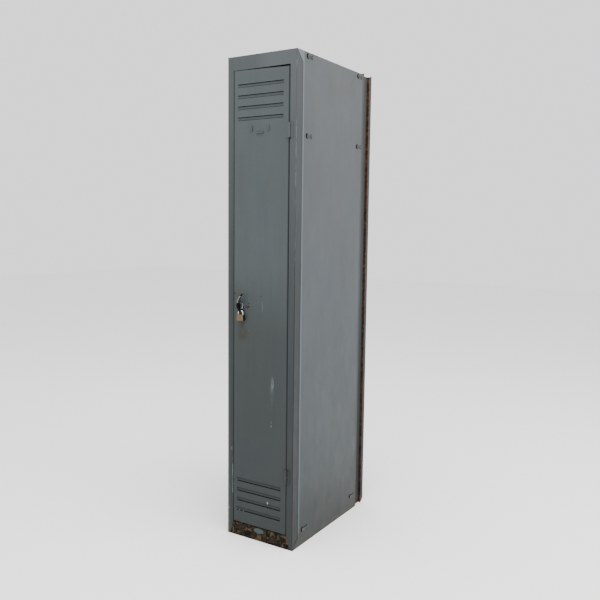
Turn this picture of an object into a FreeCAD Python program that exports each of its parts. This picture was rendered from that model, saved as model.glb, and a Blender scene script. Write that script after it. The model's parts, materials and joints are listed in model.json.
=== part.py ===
"""Single-door steel locker cabinet on rear channels, with a padlocked turn latch.

Millimetres. X runs to the right, Y to the back and Z up. The origin is on the floor,
in the plane of the front frame, midway across the cabinet.
"""
import FreeCAD, Part
import os
import re

import Sketcher
from FreeCAD import Placement, Rotation, Vector

# --------------------------------------------------------------------- sizes
SIZES = {
    # the carcass
    "cabinet_width": 305,
    "cabinet_height": 1830,
    "body_depth": 508,
    "frame_gauge": 1.5,
    "panel_gauge": 1,
    # the front frame
    "post_face": 28,
    "rail_face": 50,
    "kick_height": 54,
    "mitre_run": 15.3,
    "side_strip": 40,
    "side_lap": 20,
    "jamb_depth": 22,
    "stop_ledge": 10,
    "rail_return": 20,
    # the side panels and the back
    "side_flange": 16,
    "foot_flange": 12,
    "wall_hole_radius": 4,
    "wall_hole_spacing": 200,
    "wall_hole_rise": 1400,
    "wall_hole_foot": 230,
    # the trays: roof, hat shelf and floor
    "tray_flange": 28,
    "floor_level": 46,
    "hat_space": 278,
    "shelf_setback": 30,
    "floor_clip_rise": 14,
    "clip_setback": 82,
    "clip_rear_inset": 36,
    "clip_span": 42,
    "clip_hole": 9.5,
    "clip_open": 2.6,
    "clip_slot": 5,
    "clip_step": 1,
    "clip_depth": 7,
    "clip_gauge": 1.2,
    "clip_lift": 1.4,
    "clip_reach": 5,
    # the channels at the back
    "channel_depth": 51,
    "channel_recess": 12,
    "channel_gauge": 1.5,
    "channel_lip": 19,
    "channel_ear": 6,
    "lip_cut": 16,
    "rivet_radius": 2,
    "rivet_head": 3.6,
    "rivet_dome": 1.4,
    "rivet_margin": 90,
    # the door
    "door_gap": 2.5,
    "head_gap": 1.5,
    "door_droop": 3.5,
    "door_gauge": 1.2,
    "door_depth": 18,
    "door_lip": 10,
    "louvre_width": 204,
    "louvre_height": 12.5,
    "louvre_pitch": 39.5,
    "louvre_depth": 3.5,
    "louvre_slope": 5,
    "louvre_slot": 1.8,
    "louvre_shift": 5,
    "louvre_head_margin": 49.5,
    "louvre_foot_margin": 46.5,
    "card_width": 77,
    "card_shift": 4.5,
    "card_drop": 201.5,
    "card_tab": 20.5,
    "card_foot_tab": 32,
    "card_foot_gap": 7,
    "card_lift": 2.4,
    "card_lip": 4,
    "stiffener_width": 50,
    "stiffener_depth": 13,
    "stiffener_margin": 235,
    "buffer_radius": 4.5,
    "buffer_gap": 0.5,
    # the hinges
    "hinge_height": 54,
    "hinge_inset": 226,
    "hinge_gauge": 1.6,
    "leaf_width": 15.5,
    "knuckle_radius": 4,
    "knuckle_proud": 0.2,
    "knuckle_gap": 0.3,
    "knuckle_relief": 0.4,
    "leaf_overlap": 1,
    "pin_clearance": 0.05,
    # the latch
    "latch_level": 911,
    "latch_inset": 30,
    "spindle_radius": 4,
    "spindle_clearance": 0.05,
    "spindle_end": 1,
    "bush_radius": 6,
    "bush_flange": 9,
    "bush_flange_gauge": 1.5,
    "bush_length": 12,
    "nut_radius": 9,
    "nut_gauge": 3.5,
    "boss_radius": 8,
    "boss_length": 6.5,
    "boss_cap": 1,
    "lever_gauge": 4,
    "lever_gap": 0.3,
    "lever_shift": 4.5,
    "lever_reach": 24,
    "lever_throat": 6,
    "lever_bend": 20,
    "lever_lean": 22,
    "lever_rise": 50,
    "lever_tip": 7,
    "lever_blunt": 3,
    "ring_radius": 16,
    "ring_wall": 4.5,
    "ring_gauge": 3,
    "eye_radius": 7.2,
    "eye_wall": 2.6,
    "eye_drop": 16.5,
    "strike_gauge": 1.5,
    "strike_length": 60,
    "cam_gap": 0.3,
    "cam_gauge": 3,
    "cam_width": 13,
    "cam_reach": 31,
    "stud_radius": 6.5,
    "stud_shift": 38.5,
    "stud_rise": 3,
    # the padlock
    "padlock_shift": 3.5,
    "padlock_width": 30,
    "padlock_height": 23.5,
    "padlock_gauge": 11,
    "padlock_round": 2.5,
    "shackle_radius": 2.5,
    "shackle_span": 21,
    "shackle_leg": 5,
    "shackle_rest": 2.3,
    "shackle_clearance": 0.05,
    "long_leg": 14,
    "short_leg": 6,
    "leg_room": 1.5,
    "plug_radius": 4.3,
    "plug_length": 12,
    "keyway_width": 1.3,
    "keyway_height": 5.6,
    "keyway_depth": 7,
    # the coat hooks
    "hook_wire": 2.6,
    "hook_arm": 14,
    "hook_bend": 12,
    "hook_tip": 9,
    "hook_ball": 4,
    "hook_plate": 22,
    "hook_plate_gauge": 2,
    "hook_plate_rise": 20,
    "hook_drop": 70,
    "hook_shank": 26,
    "hook_shank_radius": 3.6,
    "hook_shank_end": 30,
    # how far a cutting shape runs past what it cuts
    "cut_over": 1,
}

# Lengths that follow from the sizes above.
DERIVED = {
    "half_width": "cabinet_width / 2",
    "panel_in": "half_width - panel_gauge",
    "return_in": "panel_in - frame_gauge",
    "return_end": "side_strip + side_lap",
    "rear_inner": "body_depth - 2 * panel_gauge",
    "under_roof": "cabinet_height - panel_gauge",
    "opening_half": "half_width - post_face",
    "opening_head": "cabinet_height - rail_face",
    "mitre_half": "opening_half + mitre_run",
    "shelf_level": "cabinet_height - hat_space",
    "shelf_clip_drop": "tray_flange / 2",
    "ledge_back": "jamb_depth + frame_gauge",
    "door_half": "opening_half - door_gap",
    "door_foot": "kick_height + door_gap",
    "door_head": "opening_head - head_gap",
    "door_dropped": "door_head - door_droop",
    "hinge_across": "opening_half - door_gap / 2",
    "hinge_out": "0 - knuckle_radius - knuckle_proud",
    "pin_radius": "knuckle_radius - hinge_gauge",
    "latch_across": "latch_inset - door_half",
    "eye_out": "lever_back + eye_radius",
    "eye_hole": "eye_radius - eye_wall",
    "eye_level": "latch_level - eye_drop",
    "lever_back": "bush_flange_gauge + lever_gap",
    "lever_across": "latch_across + lever_shift",
    "padlock_across": "lever_across + padlock_shift",
    "cam_front": "ledge_back + strike_gauge + cam_gap",
    "cam_back": "cam_front + cam_gauge",
    "shackle_top": "eye_level - eye_hole + shackle_rest + shackle_radius",
    "shackle_bend": "shackle_top - shackle_span / 2",
    "padlock_top": "shackle_bend - shackle_leg",
    "padlock_foot": "padlock_top - padlock_height",
    "channel_back": "body_depth + channel_depth",
    "channel_end": "channel_back + channel_lip",
    "channel_in": "half_width - channel_recess",
    "rivet_inset": "(channel_recess - channel_gauge) / 2",
    "hook_level": "shelf_level - tray_flange - hook_drop",
    "hook_middle": "(ledge_back + rear_inner) / 2",
}

document = FreeCAD.newDocument("LockerCabinet")
sheet = document.addObject("Spreadsheet::Sheet", "Sizes")
for row, (alias, size) in enumerate(SIZES.items(), start=1):
    sheet.set(f"A{row}", alias)
    sheet.set(f"B{row}", str(size))
    sheet.setAlias(f"B{row}", alias)
document.recompute()

NODES = []


# ------------------------------------------------------------------- helpers
def expression(text):
    """The text with derived lengths written out and each size read from the sheet."""
    def word(match):
        name = match.group()
        if name in DERIVED:
            return "(" + expression(DERIVED[name]) + ")"
        return "Sizes." + name if name in SIZES else name

    return re.sub(r"[a-z_]+", word, str(text))


def length(text):
    """The number that a text of sizes comes to."""
    return float(sheet.evalExpression(expression(text)))


def bind(thing, **places):
    """Bind properties of a thing to sizes. x, y and z stand for its place."""
    for name, text in places.items():
        path = "Placement.Base." + name if name in "xyz" else name
        thing.setExpression(path, expression(text))
    return thing


def box(name, across, along, up):
    """A block between pairs of limits in X, Y and Z."""
    thing = document.addObject("Part::Box", name)
    sizes = {"Length": across, "Width": along, "Height": up}
    for side, (low, high) in sizes.items():
        bind(thing, **{side: f"({high}) - ({low})"})
    return bind(thing, x=across[0], y=along[0], z=up[0])


TURNS = {
    "X": Rotation(Vector(0, 1, 0), 90),
    "Y": Rotation(Vector(1, 0, 0), -90),
    "Z": Rotation(),
}


def rod(name, axis, radius, at, limits):
    """A cylinder along an axis, between limits, through a place given in the other two axes."""
    thing = document.addObject("Part::Cylinder", name)
    thing.Placement = Placement(Vector(), TURNS[axis])
    low, high = limits
    bind(thing, Radius=radius, Height=f"({high}) - ({low})")
    others = [letter for letter in "XYZ" if letter != axis]
    places = dict(zip(others, at))
    places[axis] = low
    return bind(thing, **{letter.lower(): text for letter, text in places.items()})


PLANES = {
    "XY": ("z", 0),
    "XZ": ("y", 1),
    "YZ": ("x", 0),
}


def prism(name, plane, outline, limits):
    """A padded sketch: an outline of points on an origin plane, padded between limits."""
    body = document.addObject("PartDesign::Body", name)
    sketch = body.newObject("Sketcher::SketchObject", name + "Sketch")
    support = [part for part in body.Origin.OriginFeatures if part.Role == plane + "_Plane"]
    sketch.AttachmentSupport = [(support[0], "")]
    sketch.MapMode = "FlatFace"
    corners = [Vector(length(first), length(second), 0) for first, second in outline]
    count = len(corners)
    for index, corner in enumerate(corners):
        sketch.addGeometry(Part.LineSegment(corner, corners[(index + 1) % count]), False)
    for index in range(count):
        sketch.addConstraint(Sketcher.Constraint("Coincident", index, 2, (index + 1) % count, 1))
    for index, (corner, texts) in enumerate(zip(corners, outline)):
        for kind, text, number in zip(("DistanceX", "DistanceY"), texts, corner):
            rule = sketch.addConstraint(Sketcher.Constraint(kind, -1, 1, index, 1, number))
            sketch.setExpression(f"Constraints[{rule}]", expression(text))
    pad = body.newObject("PartDesign::Pad", name + "Pad")
    pad.Profile = sketch
    low, high = limits
    bind(pad, Length=f"({high}) - ({low})")
    letter, start = PLANES[plane]
    return bind(body, **{letter: limits[start]})


def fuse(name, things):
    """One solid made of overlapping things."""
    whole = document.addObject("Part::MultiFuse", name)
    whole.Shapes = list(things)
    whole.Refine = True
    return whole


def group(name, things):
    """Separate solids kept as one thing."""
    whole = document.addObject("Part::Compound", name)
    whole.Links = list(things)
    return whole


def cut(name, thing, tool):
    """A thing with a tool taken out of it."""
    whole = document.addObject("Part::Cut", name)
    whole.Base = thing
    whole.Tool = tool
    whole.Refine = True
    return whole


def rounded(name, thing, axis, radius, wanted):
    """A thing with its straight edges along an axis rounded where wanted(point) is true."""
    document.recompute()
    direction = {"X": Vector(1, 0, 0), "Y": Vector(0, 1, 0), "Z": Vector(0, 0, 1)}[axis]
    whole = document.addObject("Part::Fillet", name)
    whole.Base = thing
    size = length(radius)
    edges = []
    for number, edge in enumerate(thing.Shape.Edges, start=1):
        if not isinstance(edge.Curve, Part.Line):
            continue
        along = abs(edge.tangentAt(edge.FirstParameter).dot(direction))
        if along > 0.999 and wanted(edge.CenterOfMass):
            edges.append((number, size, size))
    whole.Edges = edges
    return whole


def node(name, thing):
    """Name a thing as a sub-part of the cabinet."""
    thing.Label = name
    NODES.append((name, thing))
    return thing


def mirrored_sides():
    """The two sides of the cabinet, with the sign of X on each."""
    return (("left", -1), ("right", 1))


def limits_on(sign, inner, outer):
    """A pair of X limits on one side, lowest first."""
    if sign > 0:
        return inner, outer
    return f"0 - ({outer})", f"0 - ({inner})"


# --------------------------------------------------------------- front frame
def front_post(side, sign):
    """An upright: face, side return behind the panel, door jamb and the ledge the door stops on."""
    name = f"front_post_{side}"
    face_points = [
        ("opening_half", "kick_height"),
        ("mitre_half", "0"),
        ("panel_in", "0"),
        ("panel_in", "under_roof"),
        ("mitre_half", "under_roof"),
        ("opening_half", "opening_head"),
    ]
    if sign < 0:
        face_points = [(f"0 - ({across})", up) for across, up in reversed(face_points)]
    opening = ("kick_height", "opening_head")
    full = ("0", "under_roof")
    pieces = [
        prism(name + "_face", "XZ", face_points, ("0", "frame_gauge")),
        box(name + "_return", limits_on(sign, "return_in", "panel_in"), ("0", "return_end"), full),
        box(name + "_jamb", limits_on(sign, "opening_half", "opening_half + frame_gauge"),
            ("0", "ledge_back"), opening),
        box(name + "_ledge",
            limits_on(sign, "opening_half - stop_ledge", "opening_half + frame_gauge"),
            ("jamb_depth", "ledge_back"), opening),
    ]
    post = fuse(name + "_sheet", pieces)
    edge = sign * length("panel_in")
    outer = rounded(name + "_bend", post, "Z", "frame_gauge",
                    lambda point: abs(point.x - edge) < 0.01 and abs(point.y) < 0.01)
    return node(name, outer)


def top_rail():
    """The rail over the door, mitred to the posts, with a return above the door and one under the roof."""
    face = prism("top_rail_face", "XZ", [
        ("0 - opening_half", "opening_head"),
        ("opening_half", "opening_head"),
        ("mitre_half", "under_roof"),
        ("0 - mitre_half", "under_roof"),
    ], ("0", "frame_gauge"))
    across = ("0 - opening_half", "opening_half")
    head = box("top_rail_head", across, ("0", "jamb_depth"),
               ("opening_head", "opening_head + frame_gauge"))
    crown = box("top_rail_crown", across, ("0", "rail_return"),
                ("under_roof - frame_gauge", "under_roof"))
    return node("front_top_rail", fuse("top_rail_sheet", [face, head, crown]))


def kick_rail():
    """The rail under the door, mitred to the posts, with a sill and a foot that stands on the floor."""
    face = prism("kick_rail_face", "XZ", [
        ("0 - mitre_half", "0"),
        ("mitre_half", "0"),
        ("opening_half", "kick_height"),
        ("0 - opening_half", "kick_height"),
    ], ("0", "frame_gauge"))
    across = ("0 - opening_half", "opening_half")
    sill = box("kick_rail_sill", across, ("0", "jamb_depth"),
               ("kick_height - frame_gauge", "kick_height"))
    foot = box("kick_rail_foot", across, ("0", "rail_return"), ("0", "frame_gauge"))
    return node("kick_rail", fuse("kick_rail_sheet", [face, sill, foot]))


# ------------------------------------------------- panels, trays and channels
def clip_levels():
    """The heights of the clips that hold the roof, the hat shelf and the floor."""
    return {
        "roof": "cabinet_height - shelf_clip_drop",
        "shelf": "shelf_level - shelf_clip_drop",
        "floor": "floor_level + floor_clip_rise",
    }


CLIP_PLACES = {"fore": "clip_setback", "aft": "rear_inner - clip_rear_inset"}


def clip_places():
    """Each clip's name, with the Y of its front end and the height of its middle."""
    return [(f"{tray}_{place}", f"({middle}) - clip_span / 2", level)
            for tray, level in clip_levels().items() for place, middle in CLIP_PLACES.items()]


def clip_holes(name, side, sign):
    """The round hole and the slot that each clip on a side stands in."""
    depth = limits_on(sign, "half_width - clip_reach", "half_width + clip_lift")
    holes = []
    for place, front, level in clip_places():
        holes.append(rod(f"{name}_{side}_{place}_hole", "X", "clip_hole",
                         (f"{front} + clip_hole", level), depth))
        holes.append(box(f"{name}_{side}_{place}_slot", depth,
                         (f"{front} + clip_span - clip_slot", f"{front} + clip_span"),
                         (f"{level} - clip_hole + clip_step", f"{level} + clip_hole - clip_step")))
    return holes


def side_clips(side, sign):
    """Sheet clips that bridge from a round hole to a slot and hold the trays to a side panel."""
    outside = limits_on(sign, "half_width + clip_lift", "half_width + clip_lift + clip_gauge")
    through = limits_on(sign, "half_width - clip_reach", "half_width + clip_lift + clip_gauge")
    clips = []
    for place, front, level in clip_places():
        name = f"clip_{side}_{place}"
        centre = f"{front} + clip_hole + clip_open / 2"
        end = f"{front} + clip_span - clip_slot / 2"
        strap = (f"{level} - clip_depth / 2", f"{level} + clip_depth / 2")
        disc = rod(name + "_disc", "X", "clip_hole - clip_open", (centre, level), outside)
        bridge = box(name + "_bridge", outside, (centre, end), strap)
        shank = rod(name + "_shank", "X", "clip_depth / 2", (centre, level), through)
        leg = box(name + "_leg", through, (f"{end} - clip_gauge", end), strap)
        clips.append(fuse(name, [disc, bridge, shank, leg]))
    return node(f"side_clips_{side}", group(f"clips_{side}", clips))


# Rivets down each rear channel.
RIVETS = 7


def rivet_levels():
    """Heights of the rivets that hold each rear channel to the body."""
    step = f"(cabinet_height - 2 * rivet_margin) / {RIVETS - 1}"
    return [f"rivet_margin + {index} * {step}" for index in range(RIVETS)]


def rivet_shanks(name, side, sign):
    """The rivet shanks on one side, as rods along Y."""
    across = f"{sign} * (half_width - rivet_inset)"
    depth = ("body_depth - 2 * panel_gauge", "body_depth + channel_gauge")
    return [rod(f"{name}_{side}_{index}", "Y", "rivet_radius", (across, level), depth)
            for index, level in enumerate(rivet_levels())]


def back_rivets():
    """Rivets through the back panel, the side flanges and the rear channels, heads to the rear."""
    solids = []
    for side, sign in mirrored_sides():
        shanks = rivet_shanks("rivet_shank", side, sign)
        across = f"{sign} * (half_width - rivet_inset)"
        for index, (level, shank) in enumerate(zip(rivet_levels(), shanks)):
            head = rod(f"rivet_head_{side}_{index}", "Y", "rivet_head", (across, level),
                       ("body_depth + channel_gauge", "body_depth + channel_gauge + rivet_dome"))
            solids.append(fuse(f"rivet_{side}_{index}", [shank, head]))
    return node("back_rivets", group("rivets", solids))


def side_panel(side, sign):
    """A side skin whose front edge steps back from the post, with a rear flange and a foot flange."""
    name = f"side_panel_{side}"
    start = "panel_in" if sign > 0 else "0 - half_width"
    stop = "half_width" if sign > 0 else "0 - panel_in"
    skin = prism(name + "_skin", "YZ", [
        ("0", "0"),
        ("body_depth", "0"),
        ("body_depth", "cabinet_height"),
        ("0", "cabinet_height"),
        ("side_strip", "cabinet_height - side_strip"),
        ("side_strip", "side_strip"),
    ], (start, stop))
    flange = box(name + "_flange", limits_on(sign, "half_width - side_flange", "half_width"),
                 ("body_depth - panel_gauge", "body_depth"), ("0", "cabinet_height"))
    foot = box(name + "_foot", limits_on(sign, "half_width - foot_flange", "half_width"),
               ("return_end", "body_depth"), ("0", "panel_gauge"))
    whole = fuse(name + "_sheet", [skin, flange, foot])
    slots = group(name + "_slots", clip_holes("panel", side, sign))
    slotted = cut(name + "_slotted", whole, slots)
    holes = group(name + "_holes", rivet_shanks(name + "_hole", side, sign))
    return node(name, cut(name + "_drilled", slotted, holes))


def back_panel():
    """The back sheet between the side panels, with four holes for fixing to a wall."""
    sheet_metal = box("back_sheet", ("0 - panel_in", "panel_in"),
                      ("rear_inner", "body_depth - panel_gauge"), ("panel_gauge", "under_roof"))
    holes = []
    for side, sign in mirrored_sides():
        holes += rivet_shanks("back_hole", side, sign)
        for row, rise in (("low", "0"), ("high", "wall_hole_rise")):
            holes.append(rod(f"wall_hole_{side}_{row}", "Y", "wall_hole_radius",
                             (f"{sign} * wall_hole_spacing / 2", f"wall_hole_foot + {rise}"),
                             ("rear_inner - cut_over", "body_depth + cut_over")))
    return node("back_panel", cut("back_drilled", sheet_metal, group("back_holes", holes)))


def tray_flanges(name, up):
    """The side flanges of a tray, just inside the side panels."""
    return [box(f"{name}_flange_{side}", limits_on(sign, "panel_in - panel_gauge", "panel_in"),
                ("return_end", "rear_inner"), up) for side, sign in mirrored_sides()]


def slotted_tray(name, label, pieces):
    """A tray fused from its sheets, with holes for the clips."""
    whole = fuse(name + "_sheet", pieces)
    holes = []
    for side, sign in mirrored_sides():
        holes += clip_holes(name, side, sign)
    return node(label, cut(name + "_slotted", whole, group(name + "_slots", holes)))


def roof_panel():
    """The roof sheet, lying on the frame, with flanges turned down inside the sides."""
    top = box("roof_top", ("0 - panel_in", "panel_in"), ("0", "body_depth - panel_gauge"),
              ("under_roof", "cabinet_height"))
    up = ("cabinet_height - tray_flange", "cabinet_height")
    return slotted_tray("roof", "roof_panel", [top] + tray_flanges("roof", up))


def hat_shelf():
    """The shelf behind the door's upper part, with its front and sides turned down."""
    level = ("shelf_level - panel_gauge", "shelf_level")
    drop = ("shelf_level - tray_flange", "shelf_level")
    narrow = box("shelf_fore", ("0 - return_in", "return_in"), ("shelf_setback", "return_end"), level)
    wide = box("shelf_aft", ("0 - panel_in", "panel_in"), ("return_end", "rear_inner"), level)
    nose = box("shelf_nose", ("0 - return_in", "return_in"),
               ("shelf_setback", "shelf_setback + panel_gauge"), drop)
    return slotted_tray("shelf", "hat_shelf", [narrow, wide, nose] + tray_flanges("shelf", drop))


def floor_panel():
    """The floor tray: its sides turn up inside the side panels and its front turns down."""
    level = ("floor_level - panel_gauge", "floor_level")
    rise = ("floor_level - panel_gauge", "floor_level + tray_flange")
    drop = ("floor_level - tray_flange", "floor_level")
    narrow = box("floor_fore", ("0 - return_in", "return_in"), ("frame_gauge", "return_end"), level)
    wide = box("floor_aft", ("0 - panel_in", "panel_in"), ("return_end", "rear_inner"), level)
    nose = box("floor_nose", ("0 - return_in", "return_in"),
               ("frame_gauge", "frame_gauge + panel_gauge"), drop)
    return slotted_tray("floor", "floor_panel", [narrow, wide, nose] + tray_flanges("floor", rise))


def rear_channel(side, sign):
    """A channel behind the body: front wall, recessed web, rear wall and a lip flush with the side."""
    name = f"rear_channel_{side}"
    front = box(name + "_front", limits_on(sign, "channel_in", "half_width"),
                ("body_depth", "body_depth + channel_gauge"), ("0", "cabinet_height + channel_ear"))
    web = box(name + "_web", limits_on(sign, "channel_in", "channel_in + channel_gauge"),
              ("body_depth", "channel_back"), ("0", "cabinet_height"))
    rear = box(name + "_rear", limits_on(sign, "channel_in", "half_width"),
               ("channel_back - channel_gauge", "channel_back"), ("0", "cabinet_height"))
    start, stop = limits_on(sign, "half_width - channel_gauge", "half_width")
    lip = prism(name + "_lip", "YZ", [
        ("channel_back - channel_gauge", "0"),
        ("channel_end", "lip_cut"),
        ("channel_end", "cabinet_height + channel_ear"),
        ("channel_end - channel_ear", "cabinet_height + channel_ear"),
        ("channel_end - 2 * channel_ear", "cabinet_height"),
        ("channel_back - channel_gauge", "cabinet_height"),
    ], (start, stop))
    whole = fuse(name + "_sheet", [front, web, rear, lip])
    holes = group(name + "_holes", rivet_shanks(name + "_hole", side, sign))
    return node(name, cut(name + "_drilled", whole, holes))


# ---------------------------------------------------------------------- door
LOUVRES = 4


def louvre_feet():
    """The lower edge of each louvre, counted from the door's head and from its foot."""
    feet = []
    for index in range(LOUVRES):
        feet.append(f"door_head - louvre_head_margin - louvre_height - {index} * louvre_pitch")
        feet.append(f"door_foot + louvre_foot_margin + {index} * louvre_pitch")
    return feet


def louvre(index, foot):
    """A band of the door pressed inwards, with a slot along its top and bottom edges."""
    start = "0 - louvre_width / 2 - louvre_shift"
    stop = "louvre_width / 2 - louvre_shift"
    return prism(f"louvre_{index}", "XY", [
        (start, "0"),
        (f"{start} + louvre_slope", "louvre_depth"),
        (f"{stop} - louvre_slope", "louvre_depth"),
        (stop, "0"),
        (stop, "door_gauge"),
        (f"{stop} - louvre_slope + door_gauge / 2", "louvre_depth + door_gauge"),
        (f"{start} + louvre_slope - door_gauge / 2", "louvre_depth + door_gauge"),
        (start, "door_gauge"),
    ], (f"{foot} + louvre_slot", f"{foot} + louvre_height - louvre_slot"))


def card_holder():
    """Three tabs lanced out of the door to hold a name card: each stands out, then turns over."""
    foot = "door_head - card_drop - card_tab"
    out = ("0 - card_lift - door_gauge", "0.5 * door_gauge")
    over = ("0 - card_lift - door_gauge", "0 - card_lift")
    upright = (foot, f"{foot} + card_tab")
    tabs = []
    for side, sign in mirrored_sides():
        edge = f"{sign} * card_width / 2 - card_shift"
        inner = f"{edge} - {sign} * card_lip"
        outer = f"{edge} + {sign} * door_gauge"
        post = (edge, outer) if sign > 0 else (outer, edge)
        lip = (inner, outer) if sign > 0 else (outer, inner)
        tabs.append(box(f"card_post_{side}", post, out, upright))
        tabs.append(box(f"card_lip_{side}", lip, over, upright))
    across = ("0 - card_foot_tab / 2 - card_shift", "card_foot_tab / 2 - card_shift")
    ledge = f"{foot} - card_foot_gap"
    tabs.append(box("card_post_foot", across, out, (f"{ledge} - door_gauge", ledge)))
    tabs.append(box("card_lip_foot", across, over, (f"{ledge} - door_gauge", f"{ledge} + card_lip")))
    return tabs


def door_block(name, inset, along):
    """A block of the door's outline, drawn in by an inset. Its head drops towards the hinges."""
    return prism(name, "XZ", [
        (f"{inset} - door_half", f"door_foot + {inset}"),
        (f"door_half - {inset}", f"door_foot + {inset}"),
        (f"door_half - {inset}", f"door_dropped - {inset}"),
        (f"{inset} - door_half", f"door_head - {inset}"),
    ], along)


def door_skin():
    """The door pan: skin, four returns and inner lips, with louvres and the card holder."""
    outer = door_block("door_outer", "0", ("0", "door_depth"))
    hollow = door_block("door_hollow", "door_gauge", ("door_gauge", "door_depth - door_gauge"))
    mouth = door_block("door_mouth", "door_lip", ("door_gauge", "door_depth"))
    windows = []
    bands = []
    for index, foot in enumerate(louvre_feet()):
        windows.append(box(f"louvre_window_{index}",
                           ("0 - louvre_width / 2 - louvre_shift", "louvre_width / 2 - louvre_shift"),
                           ("0 - door_gauge", "2 * door_gauge"), (foot, f"{foot} + louvre_height")))
        bands.append(louvre(index, foot))
    spindle_hole = rod("door_spindle_hole", "Y", "bush_radius", ("latch_across", "latch_level"),
                       ("0 - door_gauge", "2 * door_gauge"))
    stud_hole = rod("door_stud_hole", "Y", "rivet_radius",
                    ("latch_across + stud_shift", "latch_level + stud_rise"),
                    ("0 - door_gauge", "2 * door_gauge"))
    pan = cut("door_pan", outer, fuse("door_space", [hollow, mouth]))
    open_pan = cut("door_open_pan", pan, group("door_cuts", windows + [spindle_hole, stud_hole]))
    whole = fuse("door_sheet", [open_pan] + bands + card_holder())
    half = length("door_half")
    bend = rounded("door_bend", whole, "Z", "door_gauge",
                   lambda point: abs(abs(point.x) - half) < 0.01 and abs(point.y) < 0.01)
    return node("door_skin", bend)


def door_stiffener():
    """A channel welded inside the skin, between the louvres."""
    across = ("0 - stiffener_width / 2", "stiffener_width / 2")
    up = ("door_foot + stiffener_margin", "door_head - stiffener_margin")
    outer = box("stiffener_outer", across, ("door_gauge", "door_gauge + stiffener_depth"), up)
    hollow = box("stiffener_hollow",
                 ("door_gauge - stiffener_width / 2", "stiffener_width / 2 - door_gauge"),
                 ("door_gauge", "stiffener_depth"), up)
    return node("door_stiffener", cut("stiffener_channel", outer, hollow))


# How far up the door each rubber buffer sits, as a part of its height.
BUFFER_PLACES = (0.1, 0.62, 0.9)


def buffer_levels():
    """Heights of the rubber buffers on the closing side."""
    return [f"door_foot + (door_head - door_foot) * {place}" for place in BUFFER_PLACES]


def door_buffers():
    """Rubber buffers on the left ledge, just short of the closed door."""
    pads = [rod(f"buffer_{index}", "Y", "buffer_radius", ("stop_ledge / 2 - opening_half", level),
                ("door_depth + buffer_gap", "jamb_depth"))
            for index, level in enumerate(buffer_levels())]
    return node("door_buffers", group("buffers", pads))


# -------------------------------------------------------------------- hinges
def hinge_leaf(name, sign, foot, own, bore):
    """A leaf on one side of the barrel, with its knuckle over the limits own."""
    up = (foot, f"{foot} + hinge_height")
    relief = "knuckle_radius + knuckle_relief"

    def across(near, far):
        if sign > 0:
            return f"hinge_across + ({near})", f"hinge_across + ({far})"
        return f"hinge_across - ({far})", f"hinge_across - ({near})"

    plate = box(name + "_plate", across(relief, "leaf_width"), ("0 - hinge_gauge", "0"), up)
    tongue = box(name + "_tongue", across("leaf_overlap", f"{relief} + leaf_overlap"),
                 ("0 - hinge_gauge", "0"), own)
    barrel = rod(name + "_barrel", "Z", "knuckle_radius", ("hinge_across", "hinge_out"), own)
    leaf = fuse(name + "_leaf", [plate, tongue, barrel])
    hole = rod(name + "_bore", "Z", bore, ("hinge_across", "hinge_out"),
               (f"{own[0]} - cut_over", f"{own[1]} + cut_over"))
    return node(name, cut(name + "_bored", leaf, hole))


def hinge(place, foot):
    """A hinge of two knuckles: the lower one and the pin on the post, the upper one on the door."""
    middle = f"{foot} + hinge_height / 2"
    low = (foot, f"{middle} - knuckle_gap / 2")
    high = (f"{middle} + knuckle_gap / 2", f"{foot} + hinge_height")
    hinge_leaf(f"hinge_{place}_frame_leaf", 1, foot, low, "pin_radius")
    hinge_leaf(f"hinge_{place}_door_leaf", -1, foot, high, "pin_radius + pin_clearance")
    pin = rod(f"pin_{place}", "Z", "pin_radius", ("hinge_across", "hinge_out"),
              (foot, f"{foot} + hinge_height"))
    node(f"hinge_{place}_pin", pin)


# --------------------------------------------------------------------- latch
def latch_bush():
    """A flanged bush through the door skin that carries the spindle."""
    at = ("latch_across", "latch_level")
    flange = rod("bush_flange_disc", "Y", "bush_flange", at, ("0 - bush_flange_gauge", "0"))
    sleeve = rod("bush_sleeve", "Y", "bush_radius", at, ("0 - bush_flange_gauge", "bush_length"))
    hole = rod("bush_hole", "Y", "spindle_radius + spindle_clearance", at,
               ("0 - bush_length", "2 * bush_length"))
    return node("latch_bush", cut("bush_bored", fuse("bush_solid", [flange, sleeve]), hole))


def hexagon_nut(name, start, bore):
    """A six-sided nut along Y on the latch's axis."""
    blank = document.addObject("Part::Prism", name + "_blank")
    blank.Polygon = 6
    blank.Placement = Placement(Vector(), TURNS["Y"])
    bind(blank, Circumradius="nut_radius", Height="nut_gauge",
         x="latch_across", y=start, z="latch_level")
    hole = rod(name + "_hole", "Y", bore, ("latch_across", "latch_level"),
               (f"{start} - cut_over", f"{start} + nut_gauge + cut_over"))
    return node(name, cut(name + "_bored", blank, hole))


def latch_spindle():
    """The shaft from the lever to the cam."""
    shaft = rod("spindle", "Y", "spindle_radius", ("latch_across", "latch_level"),
                ("boss_cap - lever_back - boss_length", "cam_back + nut_gauge + spindle_end"))
    return node("latch_spindle", shaft)


def lever_plate(name, edges):
    """A plate of the lever's gauge in an upright plane square to the door, from outlines of edges."""
    start = length("lever_across") - length("lever_gauge") / 2
    level = length("latch_level")

    def point(outward, up):
        return Vector(start, -outward, level + up)

    def edge(places):
        points = [point(*place) for place in places]
        if len(points) == 2:
            return Part.LineSegment(*points).toShape()
        return Part.Arc(*points).toShape()

    wires = [Part.Wire([edge(places) for places in outline]) for outline in edges]
    plate = document.addObject("Part::Feature", name)
    face = Part.makeFace(wires, "Part::FaceMakerBullseye")
    plate.Shape = face.extrude(Vector(length("lever_gauge"), 0, 0))
    return plate


# The fin's front edge bows out to this part of its reach at the spindle's level.
FIN_BOW = 0.9
# The fin's back edge passes through these parts of the bend's height: midway out, then against the door.
FIN_THROAT_RISE = 0.75
FIN_HEEL_RISE = 0.4
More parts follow.
